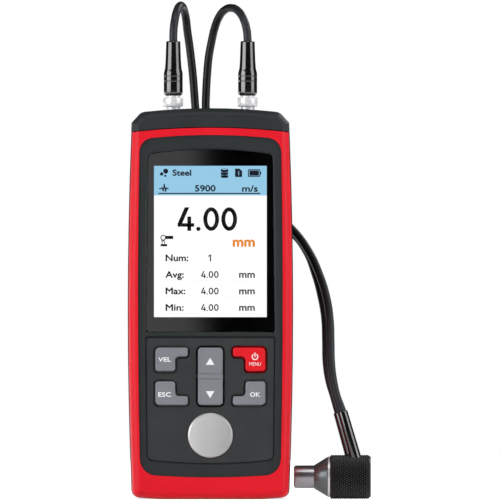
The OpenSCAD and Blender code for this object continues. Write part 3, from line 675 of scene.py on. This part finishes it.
def boot_profile():
    profile = [(STEM_R, 0)]
    for i in range(BOOT_FOOT_STEPS + 1):
        a = math.pi / 2 * i / BOOT_FOOT_STEPS
        profile.append((PLUG_R + (BOOT_R - PLUG_R) * math.sin(a), BOOT_FOOT_H * (1 - math.cos(a))))
    for middle in BOOT_GROOVES:
        profile += [(BOOT_R - deep, middle + off) for off, deep in GROOVE]
    for i in range(SHOULDER_STEPS + 1):
        share = i / SHOULDER_STEPS
        drop = SHOULDER_DROP * (1 - math.cos(math.pi * share)) / 2
        profile.append((BOOT_R - drop, SHOULDER_Z + SHOULDER_H * share))
    return [(r, BOOT_Z + t) for r, t in profile + BOOT_TOP]


def plug_pieces(side, x):
    def upright(t, u, v):
        return (x + u, v, t)

    mesh_piece("plug_fine_" + side, *turned(plug_profile(), upright), "bright", "plug_" + side)
    sleeve = turned(sleeve_profile(), upright)
    mesh_piece("release_sleeve_fine_" + side, *sleeve, "bright", "release_sleeve_" + side)
    boot = turned(boot_profile(), upright)
    mesh_piece("plug_boot_fine_" + side, *boot, "boot", "plug_boot_" + side, smooth=50)


refine("socket_left", "bright")
refine("socket_right", "bright")
plug_pieces("left", -PLUG_X)
plug_pieces("right", PLUG_X)
paint_nodes("brass", "socket_nut_left", "socket_nut_right")
paint_nodes("cord", "lead_left", "lead_right")
paint(cord_left, "cord")
paint(cord_right, "cord")

# Screws of the back, with cross recesses: where each stands and how far its recess is turned
SCREWS = ((-23.5, 8.2, 12), (23.5, 8.2, 63), (-24, 134.5, 38), (24, 134.5, 80))
SCREW_STEPS = 48
HEAD_Y = 13.3
SCREW_PROFILE = [(0, -8), (1, -8), (1.2, -7.6), (1.2, 11.5), (2.35, 11.5), (2.5, 11.65), (2.5, 12.8),
                 (2.42, 13.1), (2.25, 13.25), (2, HEAD_Y)]
RECESS_DEPTH = 1.6
RECESS_TAPER = 0.55
ARM_HALF = 0.42
ARM_REACH = 1.5


def cross_screw(x, z, turn):
    """Vertices and faces of a screw along Y whose head is at the back, with its recess turned by an angle."""
    verts, faces = turned(SCREW_PROFILE, lambda t, u, v: (x + u, t, z + v), SCREW_STEPS)
    faces = faces[:-SCREW_STEPS]  # those that close the profile; the head's top takes their place
    rim = len(verts) - SCREW_STEPS
    a, b = ARM_HALF, ARM_REACH
    outline = [(a, b), (-a, b), (-a, a), (-b, a), (-b, -a), (-a, -a), (-a, -b), (a, -b), (a, -a), (b, -a),
               (b, a), (a, a)]
    c, s = math.cos(math.radians(turn)), math.sin(math.radians(turn))
    for y, share in ((HEAD_Y, 1), (HEAD_Y - RECESS_DEPTH, RECESS_TAPER)):
        verts += [(x + share * (u * c - v * s), y, z + share * (u * s + v * c)) for u, v in outline]
    top, floor = rim + SCREW_STEPS, rim + SCREW_STEPS + len(outline)
    loops = [[Vector((p[0], p[2], 0)) for p in verts[i:j]] for i, j in ((rim, top), (top, floor))]
    faces += [[rim + i for i in face] for face in geometry.tessellate_polygon(loops)]
    for i in range(len(outline)):
        j = (i + 1) % len(outline)
        faces.append([top + i, top + j, floor + j, floor + i])
    faces.append([floor + i for i in range(len(outline))])
    return verts, faces


mesh_piece("case_screws_fine", *joined(cross_screw(*screw) for screw in SCREWS), "plated", "case_screws")

# Inside
paint_nodes("plated", "board_screws", "battery_springs", "battery_plates")
paint_nodes("cell", "battery_1", "battery_2", "battery_3")
paint_nodes("lcd", "lcd_panel")
paint_nodes("silicone", "keypad_mat")
paint_nodes("board", "main_board")
paint_nodes("resin", "delay_block_send", "delay_block_receive")
paint_nodes("ceramic", "crystal_send", "crystal_receive")
paint_nodes("barrier", "acoustic_barrier")
paint_nodes("potting", "probe_backing")

# Probe: lies along X; a profile is a list of radius and place along X
PROBE_STEPS = 128
TIP_PROFILE = [(3.9, 32.15), (4.2, 32.15), (4.35, 32.21), (4.4, 32.36), (4.4, 39.5), (3.9, 39.5)]
BODY_PROFILE = [(3.9, 39.5), (4.4, 39.5), (4.5, 39.65), (4.68, 39.9), (7.5, 44.55), (7.5, 44.85),
                (7.6, 44.85), (7.6, 45.75), (6.4, 45.75), (6.4, 50.15), (3.9, 50.15)]
RING_PROFILE = [(7.3, 44.83), (7.6, 44.83), (7.76, 44.98), (7.76, 45.6), (7.62, 45.74), (7.3, 45.74)]
CAP_FRONT = [(6.44, 45.75), (7.95, 45.75), (8.2, 46)]
CAP_END = [(8.15, 60.5), (7.65, 61.25), (0, 61.25), (0, 58.85), (6, 58.85), (6, 50.25), (6.44, 50.25)]
KNURL_X, KNURL_STEP, KNURL_DEPTH = 46.25, 0.84, 0.45
KNURL_ROWS, KNURL_COLUMNS = 17, 114


def level(t, u, v):
    return (t, u, PROBE_R + v)


def cap_profile():
    knurl = []
    for row in range(KNURL_ROWS):
        pair = (PROBE_R - KNURL_DEPTH, PROBE_R)
        knurl.append((pair[::-1] if row % 2 else pair, KNURL_X + KNURL_STEP * row))
    return CAP_FRONT + knurl + CAP_END


mesh_piece("probe_tip", *turned(TIP_PROFILE, level, PROBE_STEPS), "tip", "probe_body", stands_for=False)
mesh_piece("probe_body_fine", *turned(BODY_PROFILE, level, PROBE_STEPS), "steel", "probe_body")
mesh_piece("probe_ring", *turned(RING_PROFILE, level, PROBE_STEPS), "ring", "probe_body", stands_for=False)
mesh_piece("probe_cap_fine", *turned(cap_profile(), level, KNURL_COLUMNS), "knurl", "probe_cap", smooth=0)

# Twin boots of the probe, side by side on one slanted axis
RELIEF_TOP = Vector((49.6, 0, 33.3))
RELIEF_LOW = Vector((54.2, 0, 17.2))
RELIEF_STEPS = 48
RELIEF_ASIDE = 0.75
RELIEF_DEPTH = 1.5
RELIEF_SUNK = 2.4
RELIEF_BORE_R, RELIEF_BORE_H = 1.6, 8.5


def relief_tube(way):
    """Vertices and faces of one boot: way is 1 for the one in front and -1 for the one behind."""
    axis = (RELIEF_TOP - RELIEF_LOW).normalized()
    side = Vector((axis.z, 0, -axis.x))
    far = (RELIEF_TOP - RELIEF_LOW).length
    foot = RELIEF_LOW + side * (way * RELIEF_ASIDE) + Vector((0, -way * RELIEF_DEPTH, 0))
    profile = [(0, -RELIEF_SUNK), (2.25, -RELIEF_SUNK), (2.01, far - 0.3), (1.94, far - 0.08), (1.8, far),
               (RELIEF_BORE_R, far), (RELIEF_BORE_R, far - RELIEF_BORE_H), (0, far - RELIEF_BORE_H)]
    return turned(profile, lambda t, u, v: foot + axis * t + side * u + Vector((0, v, 0)), RELIEF_STEPS)


mesh_piece("probe_boot_fine", *joined(relief_tube(way) for way in (1, -1)), "boot", "probe_boot", smooth=50)

# Stage: pale floor, a soft card that the window reflects, lamps and a white background
FLOOR_HALF = 1.5
FLOOR_NEAR, FLOOR_FAR = 0.15, 0.8
FLOOR_GLOW_NEAR, FLOOR_GLOW_FAR = 0.6, 1.0
CARD_LEFT, CARD_RIGHT = -0.12, 0.02
CARD_LOW, CARD_HIGH = -0.02, 0.22
CARD_Y = -8.2
CARD_GLOW = 1.12
CARD_BRIGHT_X, CARD_DARK_X = -0.0317, -0.0062
LAMP_AIM = Vector((0.015, 0, 0.08))
AMBIENT = 0.04


def stage_sheet(name, corners):
    """A flat sheet of the stage, and the empty node tree of its material."""
    mesh = bpy.data.meshes.new(name)
    mesh.from_pydata(corners, [], [(0, 1, 2, 3)])
    obj = add_object(name, mesh)
    mat = bpy.data.materials.new(name)
    mat.use_nodes = True
    mat.node_tree.nodes.remove(mat.node_tree.nodes["Principled BSDF"])
    mesh.materials.append(mat)
    return obj, mat.node_tree


def scalar_math(tree, operation, first, second):
    node = tree.nodes.new("ShaderNodeMath")
    node.operation = operation
    tree.links.new(first, node.inputs[0])
    tree.links.new(second, node.inputs[1])
    return node.outputs[0]


def stage_floor():
    """A pale floor that glows for the camera and in reflections: less near its middle than far out."""
    h = FLOOR_HALF
    _, tree = stage_sheet("floor", [(-h, -h, 0), (h, -h, 0), (h, h, 0), (-h, h, 0)])
    diffuse = tree.nodes.new("ShaderNodeBsdfDiffuse")
    diffuse.inputs["Color"].default_value = (0.8, 0.8, 0.8, 1)
    reach = vector_math(tree, "LENGTH", object_place(tree), result="Value")
    glow = remap(tree, reach, FLOOR_GLOW_NEAR, FLOOR_GLOW_FAR, FLOOR_NEAR, FLOOR_FAR)
    path = tree.nodes.new("ShaderNodeLightPath")
    seen = path.outputs["Is Camera Ray"]
    for ray in ("Is Glossy Ray", "Is Transmission Ray"):
        seen = scalar_math(tree, "MAXIMUM", seen, path.outputs[ray])
    emit = tree.nodes.new("ShaderNodeEmission")
    tree.links.new(scalar_math(tree, "MULTIPLY", glow, seen), emit.inputs["Strength"])
    both = tree.nodes.new("ShaderNodeAddShader")
    tree.links.new(diffuse.outputs[0], both.inputs[0])
    tree.links.new(emit.outputs[0], both.inputs[1])
    tree.links.new(both.outputs[0], tree.nodes["Material Output"].inputs["Surface"])


def stage_card():
    """A white card behind the camera, soft along its right edge."""
    obj, tree = stage_sheet("card", [(CARD_LEFT, CARD_Y, CARD_LOW), (CARD_RIGHT, CARD_Y, CARD_LOW),
                                     (CARD_RIGHT, CARD_Y, CARD_HIGH), (CARD_LEFT, CARD_Y, CARD_HIGH)])
    obj.visible_camera = False
    way = along(tree, (CARD_BRIGHT_X, 0, 0), (CARD_DARK_X, 0, 0))
    fall = tree.nodes.new("ShaderNodeMath")
    fall.operation = "POWER"
    fall.inputs[1].default_value = 2
    tree.links.new(remap(tree, way, CARD_GLOW, 0, 0, 1), fall.inputs[0])
    emit = tree.nodes.new("ShaderNodeEmission")
    tree.links.new(fall.outputs[0], emit.inputs["Strength"])
    tree.links.new(emit.outputs[0], tree.nodes["Material Output"].inputs["Surface"])


def lamp(name, place, width, height, watts):
    data = bpy.data.lights.new(name, "AREA")
    data.shape = "RECTANGLE"
    data.size = width
    data.size_y = height
    data.energy = watts
    obj = add_object(name, data)
    obj.location = place
    obj.rotation_euler = (LAMP_AIM - Vector(place)).to_track_quat("-Z", "Y").to_euler()


stage_floor()
stage_card()
lamp("left_light", (-1.27, -0.8, 0.45), 1.45, 0.8, 19.5)
lamp("right_light", (1.37, -0.61, 0.65), 1.1, 1.3, 17)
lamp("high_light", (0, -0.8, 1.6), 0.6, 0.5, 7)
lamp("rim_light", (1.0, 0.8, 1.0), 0.6, 0.6, 9)
lamp("low_rim_light", (-1.2, 0.9, 0.045), 0.8, 0.07, 1.3)

world = bpy.data.worlds.new("world")
scene.world = world
world.use_nodes = True
sky = world.node_tree
sky.nodes["Background"].inputs["Color"].default_value = (1, 1, 1, 1)
seen = sky.nodes.new("ShaderNodeLightPath").outputs["Is Camera Ray"]
glow = remap(sky, seen, AMBIENT, 1, 0, 1)
sky.links.new(glow, sky.nodes["Background"].inputs["Strength"])
scene.view_settings.view_transform = "Standard"
